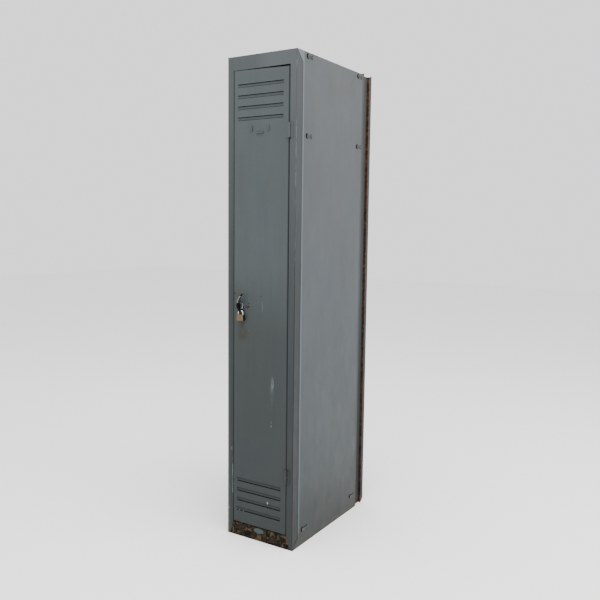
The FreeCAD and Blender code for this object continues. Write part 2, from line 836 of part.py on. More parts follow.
# The finger narrows at this part of its rise, between these parts of its reach.
FINGER_WAIST = 0.74
FINGER_FRONT = 0.86
FINGER_BACK = 0.48


def lever_fin():
    """The upright part of the lever: an eye for the padlock at its foot, widening up to the bend."""
    back = length("lever_back")
    out = length("eye_out")
    drop = -length("eye_drop")
    ring = length("eye_radius")
    hole = length("eye_hole")
    reach = length("lever_reach")
    throat = length("lever_throat")
    bend = length("lever_bend")
    outline = [
        [(back, drop), (out, drop - ring), (out + ring, drop)],
        [(out + ring, drop), (FIN_BOW * reach, 0), (reach, bend)],
        [(reach, bend), (throat, bend)],
        [(throat, bend), ((back + throat) / 2, FIN_THROAT_RISE * bend), (back, FIN_HEEL_RISE * bend)],
        [(back, FIN_HEEL_RISE * bend), (back, drop)],
    ]
    eye = [
        [(out - hole, drop), (out, drop - hole), (out + hole, drop)],
        [(out + hole, drop), (out, drop + hole), (out - hole, drop)],
    ]
    return lever_plate("lever_fin", [outline, eye])


def lever_finger():
    """The leaning part of the lever, which tapers and curls back towards the door."""
    reach = length("lever_reach")
    throat = length("lever_throat")
    tip = length("lever_tip")
    rise = length("lever_rise")
    pivot = length("lever_bend")
    start = pivot - length("lever_gauge")
    blunt = length("lever_blunt")
    waist = FINGER_WAIST * rise
    outline = [
        [(throat, start), (reach, start)],
        [(reach, start), (FINGER_FRONT * reach, waist), (tip + blunt, rise)],
        [(tip + blunt, rise), (tip, rise - blunt)],
        [(tip, rise - blunt), (FINGER_BACK * reach, waist), (throat, start)],
    ]
    finger = lever_plate("lever_finger", [outline])
    centre = Vector(length("lever_across"), 0, length("latch_level") + pivot)
    turn = Rotation(Vector(0, 1, 0), length("lever_lean"))
    finger.Placement = Placement(Vector(), turn, centre)
    return finger


def latch_lever():
    """A ring on the door, a boss on the spindle, and the fin with its eye and finger."""
    at = ("latch_across", "latch_level")
    ring = rod("lever_ring_disc", "Y", "ring_radius", at,
               ("0 - lever_back - ring_gauge", "0 - lever_back"))
    middle = rod("lever_ring_middle", "Y", "ring_radius - ring_wall", at,
                 ("0 - lever_back - ring_gauge - cut_over", "cut_over - lever_back"))
    boss = rod("lever_boss", "Y", "boss_radius", at, ("0 - lever_back - boss_length", "0 - lever_back"))
    bore = rod("lever_bore", "Y", "spindle_radius", at, ("boss_cap - lever_back - boss_length", "0"))
    pieces = [cut("lever_ring", ring, middle), boss, lever_fin(), lever_finger()]
    return node("latch_lever", cut("lever_bored", fuse("lever_solid", pieces), bore))


def latch_cam():
    """The bar on the spindle's inner end. It hangs down when released and turns behind the strike."""
    bar = box("cam_bar", ("latch_across - cam_width / 2", "latch_across + cam_width / 2"),
              ("cam_front", "cam_back"), ("latch_level - cam_reach", "latch_level + cam_width / 2"))
    bore = rod("cam_bore", "Y", "spindle_radius", ("latch_across", "latch_level"),
               ("cam_front - cut_over", "cam_back + cut_over"))
    return node("latch_cam", cut("cam_bored", bar, bore))


def strike_plate():
    """The plate behind the left ledge that the cam bears on."""
    plate = box("strike", ("0 - opening_half", "stop_ledge - opening_half"),
                ("ledge_back", "ledge_back + strike_gauge"),
                ("latch_level - strike_length / 2", "latch_level + strike_length / 2"))
    return node("strike_plate", plate)


def door_stud():
    """A round-headed rivet beside the latch."""
    at = ("latch_across + stud_shift", "latch_level + stud_rise")
    shank = rod("stud_shank", "Y", "rivet_radius", at, ("0", "2 * door_gauge"))
    head = rod("stud_head", "Y", "stud_radius", at, ("0 - rivet_dome", "0"))
    dome = document.addObject("Part::Cone", "stud_dome")
    dome.Placement = Placement(Vector(), Rotation(Vector(1, 0, 0), 90))
    bind(dome, Radius1="stud_radius", Radius2="0.6 * stud_radius", Height="rivet_dome",
         x=at[0], y="0 - rivet_dome", z=at[1])
    return node("door_stud", fuse("stud", [shank, head, dome]))


# ------------------------------------------------------------------- padlock
def leg_places():
    """The X of each leg of the shackle and how deep it stands in the body."""
    return {
        "long": ("padlock_across - shackle_span / 2", "long_leg"),
        "short": ("padlock_across + shackle_span / 2", "short_leg"),
    }


def padlock_shackle():
    """A round bow with a long and a short leg."""
    pieces = []
    for name, (across, depth) in leg_places().items():
        pieces.append(rod(f"shackle_{name}", "Z", "shackle_radius", (across, "0 - eye_out"),
                          (f"padlock_top - {depth}", "shackle_bend")))
    bow = document.addObject("Part::Torus", "shackle_bow")
    bow.Placement = Placement(Vector(), Rotation(Vector(1, 0, 0), 90))
    bind(bow, Radius1="shackle_span / 2", Radius2="shackle_radius",
         x="padlock_across", y="0 - eye_out", z="shackle_bend")
    bow.Angle3 = 180
    return node("padlock_shackle", fuse("shackle", pieces + [bow]))


def padlock_body():
    """A brass block with bores for the shackle and the key plug."""
    block = box("padlock_block",
                ("padlock_across - padlock_width / 2", "padlock_across + padlock_width / 2"),
                ("0 - eye_out - padlock_gauge / 2", "padlock_gauge / 2 - eye_out"),
                ("padlock_foot", "padlock_top"))
    soft = rounded("padlock_soft", block, "Y", "padlock_round", lambda point: True)
    bores = [rod(f"padlock_bore_{name}", "Z", "shackle_radius + shackle_clearance",
                 (across, "0 - eye_out"), (f"padlock_top - {depth} - leg_room", "padlock_top + cut_over"))
             for name, (across, depth) in leg_places().items()]
    bores.append(rod("padlock_plug_bore", "Z", "plug_radius + spindle_clearance",
                     ("padlock_across", "0 - eye_out"),
                     ("padlock_foot - cut_over", "padlock_foot + plug_length + lever_gap")))
    return node("padlock_body", cut("padlock_bored", soft, group("padlock_bores", bores)))


def padlock_plug():
    """The cylinder that the key turns, with its keyway."""
    barrel = rod("plug_barrel", "Z", "plug_radius", ("padlock_across", "0 - eye_out"),
                 ("padlock_foot", "padlock_foot + plug_length"))
    keyway = box("plug_keyway",
                 ("padlock_across - keyway_height / 2", "padlock_across + keyway_height / 2"),
                 ("0 - eye_out - keyway_width / 2", "keyway_width / 2 - eye_out"),
                 ("padlock_foot - cut_over", "padlock_foot + keyway_depth"))
    return node("padlock_plug", cut("plug", barrel, keyway))


# --------------------------------------------------------------- coat hooks
def hook_prong(name, turn, base):
    """A prong from the origin outwards and up: arm, bend, tip and ball, turned about Z."""
    arm = rod(name + "_arm", "X", "hook_wire", ("0", base), ("0", "hook_arm"))
    bend = document.addObject("Part::Torus", name + "_bend")
    bend.Placement = Placement(Vector(), Rotation(Vector(1, 0, 0), 90) * Rotation(Vector(0, 0, 1), -90))
    bind(bend, Radius1="hook_bend", Radius2="hook_wire", x="hook_arm", z=f"{base} + hook_bend")
    bend.Angle3 = 90
    tip = rod(name + "_tip", "Z", "hook_wire", ("hook_arm + hook_bend", "0"),
              (f"{base} + hook_bend", f"{base} + hook_bend + hook_tip"))
    ball = document.addObject("Part::Sphere", name + "_ball")
    bind(ball, Radius="hook_ball", x="hook_arm + hook_bend", z=f"{base} + hook_bend + hook_tip")
    prong = fuse(name, [arm, bend, tip, ball])
    prong.Placement = Placement(Vector(), Rotation(Vector(0, 0, 1), turn))
    return prong


def side_hook(side, sign):
    """A single hook on a side panel, under the hat shelf."""
    plate = box(f"hook_{side}_plate", ("0", "hook_plate_gauge"),
                ("0 - hook_plate / 2", "hook_plate / 2"),
                ("0 - hook_plate_rise", "hook_plate_rise"))
    hook = fuse(f"hook_{side}", [plate, hook_prong(f"hook_{side}_prong", 0, "0")])
    hook.Placement = Placement(Vector(), Rotation(Vector(0, 0, 1), 90 + 90 * sign))
    bind(hook, x=f"{sign} * panel_in", y="hook_middle", z="hook_level")
    return node(f"coat_hook_{side}", hook)


def middle_hook():
    """A double hook under the middle of the hat shelf."""
    plate = box("hook_middle_plate", ("0 - hook_plate_rise", "hook_plate_rise"),
                ("0 - hook_plate / 2", "hook_plate / 2"), ("0 - hook_plate_gauge", "0"))
    shank = rod("hook_middle_shank", "Z", "hook_shank_radius", ("0", "0"), ("0 - hook_shank_end", "0"))
    prongs = [hook_prong(f"hook_middle_{turn}", turn, "0 - hook_shank") for turn in (0, 180)]
    hook = fuse("hook_middle_whole", [plate, shank] + prongs)
    bind(hook, x="0", y="hook_middle", z="shelf_level - panel_gauge")
    return node("coat_hook_middle", hook)


# -------------------------------------------------------------------- model
def build():
    """Make every sub-part."""
    for side, sign in mirrored_sides():
        front_post(side, sign)
        side_panel(side, sign)
        side_clips(side, sign)
        rear_channel(side, sign)
        side_hook(side, sign)
    for make in (top_rail, kick_rail, back_panel, back_rivets, roof_panel, hat_shelf, floor_panel,
                 middle_hook, strike_plate, door_buffers, door_skin, door_stiffener, latch_bush,
                 latch_spindle, latch_lever, latch_cam, door_stud, padlock_shackle, padlock_body,
                 padlock_plug):
        make()
    hexagon_nut("latch_bush_nut", "door_gauge", "bush_radius")
    hexagon_nut("latch_cam_nut", "cam_back", "spindle_radius")
    hinge("lower", "door_foot + hinge_inset - hinge_height / 2")
    hinge("upper", "door_head - hinge_inset - hinge_height / 2")
    document.recompute()


def check():
    """Stop if any object failed or any sub-part has no valid solid."""
    for thing in document.Objects:
        if "Invalid" in thing.State or "Error" in thing.State:
            raise RuntimeError(f"{thing.Name} is {thing.State}")
    for name, thing in NODES:
        shape = thing.Shape
        if shape.isNull() or not shape.isValid() or not shape.Solids:
            raise RuntimeError(f"{name} has no valid solid")


def export():
    """Write each sub-part to parts/."""
    os.makedirs("parts", exist_ok=True)
    for name, thing in NODES:
        thing.Shape.exportStep(f"parts/{name}.step")
        print(f"{name}: {len(thing.Shape.Solids)} solids, {thing.Shape.Volume / 1000:.2f} cm3")


build()
check()
export()
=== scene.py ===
"""Looks for a single-door steel locker: worn satin enamel, rust, a plated turn latch and a brass padlock."""

import json
import math

import bmesh
import bpy
from mathutils import Matrix, Vector


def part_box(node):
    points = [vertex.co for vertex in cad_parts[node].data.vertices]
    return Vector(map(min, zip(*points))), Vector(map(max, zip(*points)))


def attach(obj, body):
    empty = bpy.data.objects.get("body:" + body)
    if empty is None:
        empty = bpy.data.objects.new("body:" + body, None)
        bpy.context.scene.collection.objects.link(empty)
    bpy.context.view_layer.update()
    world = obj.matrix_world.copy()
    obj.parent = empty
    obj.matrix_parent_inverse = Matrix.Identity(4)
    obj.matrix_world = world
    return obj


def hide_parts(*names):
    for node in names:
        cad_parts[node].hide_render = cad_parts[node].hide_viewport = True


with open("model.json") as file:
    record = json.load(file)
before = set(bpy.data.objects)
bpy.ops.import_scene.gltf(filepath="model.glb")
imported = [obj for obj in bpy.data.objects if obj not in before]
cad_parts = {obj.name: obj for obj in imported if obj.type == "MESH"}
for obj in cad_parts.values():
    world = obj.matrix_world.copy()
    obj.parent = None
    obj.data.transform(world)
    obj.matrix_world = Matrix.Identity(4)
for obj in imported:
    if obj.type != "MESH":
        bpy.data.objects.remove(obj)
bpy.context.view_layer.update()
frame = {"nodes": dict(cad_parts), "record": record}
nodes = frame["nodes"]

MM = 0.001


# ------------------------------------------------------------ places to work from
panel_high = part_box("side_panel_right")[1]
HALF_WIDTH = panel_high.x
WIDTH = 2 * HALF_WIDTH
BODY_BACK = panel_high.y
HEIGHT = panel_high.z
door_low, door_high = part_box("door_skin")
kick_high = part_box("kick_rail")[1]
latch_low, latch_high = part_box("latch_spindle")
LATCH = Vector(((latch_low.x + latch_high.x) / 2, 0, (latch_low.z + latch_high.z) / 2))

# The louvres in the door: their height and pitch, the lowest one's place, their middle and half width, and how
# many there are at the foot.
LOUVRE_HEIGHT = 12.5 * MM
LOUVRE_PITCH = 39.5 * MM
LOUVRE_FOOT = 46.5 * MM
LOUVRE_SHIFT = 5 * MM
LOUVRE_HALF = 102 * MM
LOUVRES_BELOW = 4

# A mark on a sheet reaches this far in depth, so that it goes through the sheet.
THROUGH = 60 * MM
HINGE_REACH = 9 * MM
POST_REACH = 20 * MM

# How far the rear channel's back wall stands behind the body.
CHANNEL_WALL = 46 * MM

# Enamel, rubber and floor paint all bend light about this much.
RESIN_IOR = 1.5


# ------------------------------------------------------------------------ colour
def linear(code):
    """An sRGB hex value as the linear colour that a shader takes."""
    parts = [int(code[i:i + 2], 16) / 255 for i in (1, 3, 5)]
    curve = [c / 12.92 if c <= 0.04045 else ((c + 0.055) / 1.055) ** 2.4 for c in parts]
    return (*curve, 1.0)


# Colours of the paint from the floor up, darkened towards the floor by painted shade: height as a part of the
# cabinet's, and colour.
DOOR_PAINT_AND_SHADE = (
    (0.04, "#252A2B"),
    (0.2, "#2A2F30"),
    (0.44, "#313636"),
    (0.58, "#404648"),
    (0.95, "#414748"),
)
FRAME_PAINT_AND_SHADE = (
    (0.02, "#232627"),
    (0.3, "#282D2F"),
    (0.5, "#313638"),
    (0.7, "#3D4344"),
    (0.95, "#474B4D"),
)
PANEL_PAINT_AND_SHADE = (
    (0.0, "#212424"),
    (0.07, "#242828"),
    (0.14, "#2F3537"),
    (0.5, "#42474A"),
    (0.97, "#494C4E"),
)


# ------------------------------------------------- nodes, masks and layers of paint
def add(material, kind, links=(), out=0, stops=(), **settings):
    """One output of a new node, given its inputs, in order or by name, a ramp's stops and its settings."""
    node = material.node_tree.nodes.new("ShaderNode" + kind)
    for name, value in settings.items():
        setattr(node, name, value)
    for name, value in links.items() if isinstance(links, dict) else enumerate(links):
        if isinstance(value, bpy.types.NodeSocket):
            material.node_tree.links.new(value, node.inputs[name])
        else:
            node.inputs[name].default_value = value
    for number, (place, shade) in enumerate(stops):
        elements = node.color_ramp.elements
        stop = elements[number] if number < len(elements) else elements.new(place)
        stop.position = place
        stop.color = linear(shade) if isinstance(shade, str) else (shade, shade, shade, 1)
    return node.outputs[out]


def new_material(name, roughness, metallic=0.0, specular=None):
    """A material with one Principled shader, and the place on the piece in metres."""
    material = bpy.data.materials.new(name)
    material.use_nodes = True
    sockets = material.node_tree.nodes["Principled BSDF"].inputs
    sockets["Roughness"].default_value = roughness
    sockets["Metallic"].default_value = metallic
    if not metallic:
        sockets["IOR"].default_value = RESIN_IOR
    if specular is not None:
        sockets["Specular IOR Level"].default_value = specular
    return material, add(material, "TexCoord", out="Object")


def surface(material, colour, relief=None, depth=0.0, strength=1.0, roughness=None, metallic=None):
    """The patterns joined to the shader; a relief of 0 to 1 stands for a depth in metres."""
    normal = None
    if relief:
        normal = add(material, "Bump", {"Height": relief, "Distance": depth, "Strength": strength})
    sockets = material.node_tree.nodes["Principled BSDF"].inputs
    joined = {"Base Color": colour, "Roughness": roughness, "Metallic": metallic, "Normal": normal}
    for name, value in joined.items():
        if value:
            material.node_tree.links.new(value, sockets[name])
    return material


def where(material, *limits, joined="MULTIPLY"):
    """Limits made one mask: 1 where all of them hold, or where any does if they are joined by MAXIMUM.

    A limit is a value, its start and its stop: 0 before the start and 1 past the stop, smooth between.
    It can also be a mask, or a number for the strength.
    """
    mask = None
    for limit in limits:
        if isinstance(limit, tuple):
            limit = add(material, "MapRange", (*limit, 0.0, 1.0), interpolation_type="SMOOTHSTEP")
        mask = limit if mask is None else add(material, "Math", (mask, limit), operation=joined)
    return mask


def off(material, value, middle=0.0):
    """How far a value is from a middle, to either side."""
    past = add(material, "Math", (value, middle), operation="SUBTRACT")
    return add(material, "Math", (past,), operation="ABSOLUTE")


def clouds(material, place, size, detail, rough, stretch=(1, 1, 1), seed=0.0):
    """Soft clouds of 0 to 1 that are about a size across, in metres, drawn out by a stretch."""
    moved = add(material, "Mapping", {
        "Vector": place,
        "Scale": Vector([1 / s for s in stretch]),
        "Location": Vector((seed, 0.7 * seed, 1.3 * seed)),
    })
    return add(material, "TexNoise", {
        "Vector": moved,
        "Scale": 1 / size,
        "Detail": detail,
        "Roughness": rough,
    })


def pushed(material, place, size, detail, reach):
    """A place pushed about by clouds of a size, by up to a reach in metres, for ragged outlines."""
    push = add(material, "TexNoise", {"Vector": place, "Scale": 1 / size, "Detail": detail}, out="Color")
    scaled = add(material, "VectorMath", {0: push, "Scale": reach}, operation="SCALE")
    return add(material, "VectorMath", (place, scaled), operation="ADD")


def spot(material, place, centre, size, soft):
    """A mask of 1 inside an ellipsoid of half sizes and 0 outside, with a rim that is soft for a part of it."""
    moved = add(material, "VectorMath", (place, centre), operation="SUBTRACT")
    scaled = add(material, "VectorMath", (moved, size), operation="DIVIDE")
    away = add(material, "VectorMath", (scaled,), out="Value", operation="LENGTH")
    return where(material, (away, 1.0, 1.0 - soft))


def coat(material, colour, tone, *limits):
    """A tone laid over a colour, where and as strongly as the limits say."""
    if isinstance(tone, str):
        tone = linear(tone)
    mask = where(material, *limits)
    return add(material, "Mix", {0: mask, 6: colour, 7: tone}, out=2, data_type="RGBA")


def shaded(material, colour, pattern, stops, strength=1.0):
    """A colour multiplied by the shades that a pattern's stops give it."""
    shade = add(material, "ValToRGB", (pattern,), stops=stops)
    return add(material, "Mix", {0: strength, 6: colour, 7: shade}, out=2,
               data_type="RGBA", blend_type="MULTIPLY")


def darker(material, colour, mask, keep):
    """A colour darkened to a part of itself where a mask says, for painted shade in rebates and gaps, and for
    grime and cracks.
    """
    return shaded(material, colour, mask, ((0.0, 1.0), (1.0, keep)))


def dots(material, place, colour, marks):
    """Small marks laid over a colour, each a centre, a size and a tone."""
    for centre, size, tone in marks:
        colour = coat(material, colour, tone, spot(material, place, centre, size, 0.4))
    return colour


# ---------------------------------------------------------------- enamel and rust
def enamel(name, levels, marks, grime=0.5):
    """Stoved enamel on sheet steel: satin, faintly orange-peeled, and darker towards the floor as painted
    shade.

    levels are stops of height, as a part of the cabinet's, and colour; they hold the paint's tone and the
    painted shade that darkens it towards the floor.
    marks(material, place, colour) lays the piece's own marks over the paint.
    grime is how strongly the washed-down runs show.
    """
    material, place = new_material(name, roughness=0.42, specular=0.22)
    up = add(material, "SeparateXYZ", (place,), out="Z")
    level = add(material, "Math", (up, HEIGHT), operation="DIVIDE")
    # the paint's tone, darkened towards the floor as painted shade
    colour = add(material, "ValToRGB", (level,), stops=levels)
    # hand-wide clouds of faded and dirty paint
    faded = clouds(material, place, 210 * MM, 4, 0.5, (1, 1, 1.6))
    colour = shaded(material, colour, faded, ((0.3, 0.9), (0.7, 1.08)), 0.7)
    tint = clouds(material, place, 90 * MM, 3, 0.5, (1, 1, 2), 4.0)
    colour = shaded(material, colour, tint, ((0.35, "#EAF1F2"), (0.5, "#F5F5F5"), (0.68, "#F3EEEA")), 0.5)
    # fine speckle of chalked pigment
    speck = clouds(material, place, 3 * MM, 3, 0.7, seed=1.0)
    colour = shaded(material, colour, speck, ((0.3, 0.93), (0.7, 1.05)), 0.8)
    # runs of grime that have washed down the sheet
    runs = clouds(material, place, 22 * MM, 3, 0.5, (1, 1, 14), 9.0)
    colour = shaded(material, colour, runs, ((0.48, 1.0), (0.7, 0.9)), grime)
    # short pale scratches, drawn wider than they are so that they show
    scratch = clouds(material, place, 1.8 * MM, 2, 0.5, (1, 1, 14), 2.5)
    patch = clouds(material, place, 60 * MM, 2, 0.5, (1, 1, 1.5), 7.0)
    colour = coat(material, colour, "#8E9698", (scratch, 0.7, 0.76), (patch, 0.6, 0.68), 0.35)
    colour = marks(material, place, colour)
    polish = clouds(material, place, 45 * MM, 4, 0.6, (1, 1, 2))
    roughness = add(material, "ValToRGB", (polish,), stops=((0.3, 0.38), (0.7, 0.5)))
    # orange peel, and the slow waves of thin sheet
    peel = clouds(material, place, 2.5 * MM, 2, 0.4)
    wave = clouds(material, place, 190 * MM, 2, 0.4, (1, 1, 2), 3.0)
    relief = add(material, "Math", (peel, 0.02, wave), operation="MULTIPLY_ADD")
    return surface(material, colour, relief, 1.1 * MM, 0.5, roughness)


def rust(material, place):
    """Old rust: dark scale with browner and more orange blooms, a centimetre across; and its relief."""
    blooms = clouds(material, place, 14 * MM, 6, 0.62, (1.4, 1, 1))
    colour = add(material, "ValToRGB", (blooms,), stops=(
        (0.28, "#140C08"),
        (0.42, "#26170F"),
        (0.54, "#3B2518"),
        (0.66, "#503423"),
        (0.8, "#664632"),
    ))
    return colour, blooms


def rusted(material, place, colour, *limits):
    """Rust laid over a colour where the limits say, with ragged edges."""
    ragged = clouds(material, place, 5 * MM, 5, 0.7)
    return coat(material, colour, rust(material, place)[0], *limits, (ragged, 0.38, 0.56))


# ------------------------------------------------------- marks on the painted sheets
def hinge_marks(material, place, colour):
    """Rust and chipped paint at the two hinges, and painted shadow under each."""
    upper_low, upper_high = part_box("hinge_upper_pin")
    lower_low, lower_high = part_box("hinge_lower_pin")
    pin = (upper_low.x + upper_high.x) / 2
    chipped = clouds(material, place, 7 * MM, 3, 0.6, (1, 1, 2), 1.7)
    for foot, top, strength in ((upper_low.z, upper_high.z, 0.35), (lower_low.z, lower_high.z, 0.75)):
        knuckle = spot(material, place, (pin - 1 * MM, 0, (foot + top) / 2),
                       (5 * MM, HINGE_REACH, (top - foot) / 2), 0.3)
        colour = coat(material, colour, "#9AA3A6", knuckle, (chipped, 0.46, 0.56), strength)
    # a rust spot on the upper pin's top, painted shadow in black under each hinge, and a rust spot below the
    # lower one
    return dots(material, place, colour, (
        ((pin, 0, upper_high.z - 1 * MM), (4 * MM, HINGE_REACH, 5 * MM), "#3D2A1F"),
        ((pin + 1 * MM, 0, upper_low.z), (6 * MM, HINGE_REACH, 5 * MM), "#0D0B0A"),
        ((pin, 0, lower_low.z), (6 * MM, HINGE_REACH, 6 * MM), "#0D0B0A"),
        ((pin + 7 * MM, 0, lower_low.z - 4 * MM), (6 * MM, HINGE_REACH, 5 * MM), "#261A12"),
    ))


# Pale scuffs on the door: centre, half sizes and strength. The first two are one tall stroke with its tail,
# the next two are knocks under it, and the last is a faint one at hand height.
SCUFFS = (
    ((0.188 * WIDTH, 0, 0.343 * HEIGHT), (8 * MM, THROUGH, 34 * MM), 0.22),
    ((0.18 * WIDTH, 0, 0.325 * HEIGHT), (12 * MM, THROUGH, 80 * MM), 0.05),
    ((0.175 * WIDTH, 0, 0.262 * HEIGHT), (2.5 * MM, THROUGH, 6 * MM), 0.4),
    ((0.173 * WIDTH, 0, 0.254 * HEIGHT), (3 * MM, THROUGH, 5 * MM), 0.5),
    ((0.03 * WIDTH, 0, 0.5 * HEIGHT), (5 * MM, THROUGH, 36 * MM), 0.14),
)
# Brown stains that hands and the swinging padlock have left, and last a painted shadow of the padlock below and
# right of it: place from the latch, half sizes, strength, tone.
STAINS_AND_PADLOCK_SHADOW = (
    ((-8 * MM, 0, 24 * MM), (36 * MM, THROUGH, 86 * MM), 0.55, "#35372F"),
    ((12 * MM, 0, -104 * MM), (30 * MM, THROUGH, 48 * MM), 0.8, "#2C251C"),
    ((8 * MM, 0, -14 * MM), (17 * MM, THROUGH, 20 * MM), 0.75, "#1D1A18"),
    ((31 * MM, 0, -4 * MM), (10 * MM, THROUGH, 9 * MM), 0.9, "#120F0E"),
    ((11 * MM, 0, -60 * MM), (22 * MM, THROUGH, 20 * MM), 0.6, "#1A1A18"),
)


def door_marks(material, place, colour):
    """Marks on the door: painted shade in its gaps and under the lower louvres, scuffs at hand and knee height,
    a stain by the latch with a painted shadow of the padlock, and rust at the foot.
    """
    across, along, up = [add(material, "SeparateXYZ", (place,), out=axis) for axis in "XYZ"]
    from_middle = off(material, across)
    # painted shade: the turned-back edges are darkened nearly to black in the gaps, and so is the last of the
    # face at the hinges and the head
    near_edge = where(material, (from_middle, door_high.x - 2 * MM, door_high.x - 1 * MM),
                      (up, door_high.z - 2 * MM, door_high.z - 1 * MM), joined="MAXIMUM")
    colour = darker(material, colour, where(material, near_edge, (along, 1.0 * MM, 1.8 * MM)), 0.12)
    # the door hangs low at the hinges, so the painted shade in the gap under the head is a wedge
    droop = 0.03
    head = door_high.z - droop * HALF_WIDTH
    tilted = add(material, "Math", (across, droop, up), operation="MULTIPLY_ADD")
    hinge_gap_shade = where(material, (across, door_high.x - 5.0 * MM, door_high.x - 2.8 * MM), 0.85)
    painted_gap_shade = where(material, hinge_gap_shade, (tilted, head + 1.4 * MM, head + 3.4 * MM), joined="MAXIMUM")
    colour = darker(material, colour, painted_gap_shade, 0.05)
    # painted shadow under the upper edge of each of the lower louvres, which sit a pitch apart
    above = add(material, "Math", (up, door_low.z + LOUVRE_FOOT), operation="SUBTRACT")
    step = add(material, "Math", (above, LOUVRE_PITCH), operation="MODULO")
    lower_louvres = LOUVRES_BELOW * LOUVRE_PITCH
    louvre_shadow_line = where(material, (step, LOUVRE_HEIGHT - 4.2 * MM, LOUVRE_HEIGHT - 2.4 * MM),
                      (step, LOUVRE_HEIGHT + 2.4 * MM, LOUVRE_HEIGHT + 1.2 * MM),
                      (above, lower_louvres - 10 * MM, lower_louvres - 20 * MM),
                      (off(material, across, -LOUVRE_SHIFT), LOUVRE_HALF + 0.5 * MM, LOUVRE_HALF - 0.5 * MM))
    colour = darker(material, colour, louvre_shadow_line, 0.08)
    unmarked = colour
    fray = clouds(material, place, 8 * MM, 4, 0.7, (1, 1, 5), 1.0)
    for centre, size, strength in SCUFFS:
        scuff = spot(material, place, centre, size, 0.9)
        colour = coat(material, colour, "#B9C2C8", scuff, (fray, 0.34, 0.62), strength)
    smudge = clouds(material, place, 16 * MM, 4, 0.6, (1, 1, 1.6), 5.0)
    # the stains, and last the padlock's painted shadow
    for offset, size, strength, tone in STAINS_AND_PADLOCK_SHADOW:
        stain = spot(material, place, LATCH + Vector(offset), size, 0.9)
        colour = coat(material, colour, tone, stain, (smudge, 0.22, 0.55), strength)
    # a chip among the lower louvres, a red speck by the collar and two black ones near the latch
    colour = dots(material, place, colour, (
        ((0.125 * WIDTH, 0, 0.0885 * HEIGHT), (1.7 * MM, THROUGH, 6 * MM), "#A4ADB2"),
        ((LATCH.x + 39 * MM, 0, LATCH.z + 10.5 * MM), (4.5 * MM, THROUGH, 4 * MM), "#2E1A1B"),
        ((-0.39 * WIDTH, 0, 0.523 * HEIGHT), (4 * MM, THROUGH, 4 * MM), "#15120F"),
        ((0.013 * WIDTH, 0, 0.521 * HEIGHT), (2.5 * MM, THROUGH, 2.5 * MM), "#1B1A19"),
    ))
    # all of those are on the outside of the sheet
    colour = coat(material, unmarked, colour, (along, 0.7 * MM, 0.3 * MM))
    colour = hinge_marks(material, place, colour)
    # the edges of the door are rubbed and dark, and its foot is rusty towards the latch side
    colour = coat(material, colour, "#3C4142", (from_middle, door_high.x - 9 * MM, door_high.x), 0.22)
    return rusted(material, place, colour, (up, door_low.z + 7 * MM, door_low.z + 1 * MM),
                  (across, 0.3 * HALF_WIDTH, -0.75 * HALF_WIDTH))


def post_marks(material, place, colour):
    """Marks on the posts: painted shade in the rebate and over the post away from the hinges, a dark line down
    the outer corner with a painted highlight on its upper part, and pale chips.
    """
    across, along, up = [add(material, "SeparateXYZ", (place,), out=axis) for axis in "XYZ"]
    from_middle = off(material, across)
    # the strip down the side has kept less shine, and painted shade darkens the rebate for the door
    flank = where(material, (along, 1.0 * MM, 2.0 * MM),
                  (from_middle, HALF_WIDTH - 2.4 * MM, HALF_WIDTH - 1.4 * MM))
    colour = darker(material, colour, flank, 0.66)
    rebate = where(material, (along, 1.3 * MM, 2.6 * MM),
                   (from_middle, door_high.x + 6 * MM, door_high.x + 4 * MM))
    colour = darker(material, colour, rebate, 0.1)
    # painted shade darkens the post away from the hinges
    left_post_shade = where(material, (across, 0.3 * HALF_WIDTH, -0.3 * HALF_WIDTH))
    colour = darker(material, colour, left_post_shade, 0.82)
    # the paint is worn off the outer corner in stretches, which come closer together lower down
    corner = where(material, (from_middle, HALF_WIDTH - 4.2 * MM, HALF_WIDTH - 2.2 * MM),
                   (along, 2.6 * MM, 0.9 * MM))
    stretches = clouds(material, place, 60 * MM, 4, 0.7, (1, 1, 2.5), 6.0)
    lower = where(material, (up, 0.72 * HEIGHT, 0.35 * HEIGHT))
    wear = add(material, "Math", (lower, 0.22, stretches), operation="MULTIPLY_ADD")
    colour = coat(material, colour, "#150F0B", corner, (wear, 0.42, 0.54))
    # a painted highlight down the upper part of the outer corner
    colour = coat(material, colour, "#8E9899", corner, (up, 0.4 * HEIGHT, 0.8 * HEIGHT), 0.12)
    # the left post has a dull strip where the next locker stood against it
    colour = coat(material, colour, "#414A44", (across, 14 * MM - HALF_WIDTH, 12 * MM - HALF_WIDTH), 0.3)
    # paint knocked off the left post beside the door, low down
    chips = clouds(material, place, 3.0 * MM, 3, 0.6, (1, 1, 6), 3.3)
    beside = spot(material, place, (25 * MM - HALF_WIDTH, 0, 0.125 * HEIGHT),
                  (3.5 * MM, 30 * MM, 0.055 * HEIGHT), 0.5)
    colour = coat(material, colour, "#98A4A8", beside, (chips, 0.5, 0.58), 0.35)
    colour = dots(material, place, colour, (
        ((20 * MM - HALF_WIDTH, 0, 0.19 * HEIGHT), (1.5 * MM, POST_REACH, 9 * MM), "#5C6569"),
        ((6 * MM - HALF_WIDTH, 0, 0.056 * HEIGHT), (3 * MM, POST_REACH, 4 * MM), "#6B7478"),
    ))
    colour = hinge_marks(material, place, colour)
    # rust at the feet
    return rusted(material, place, colour, (up, 16 * MM, 2 * MM))


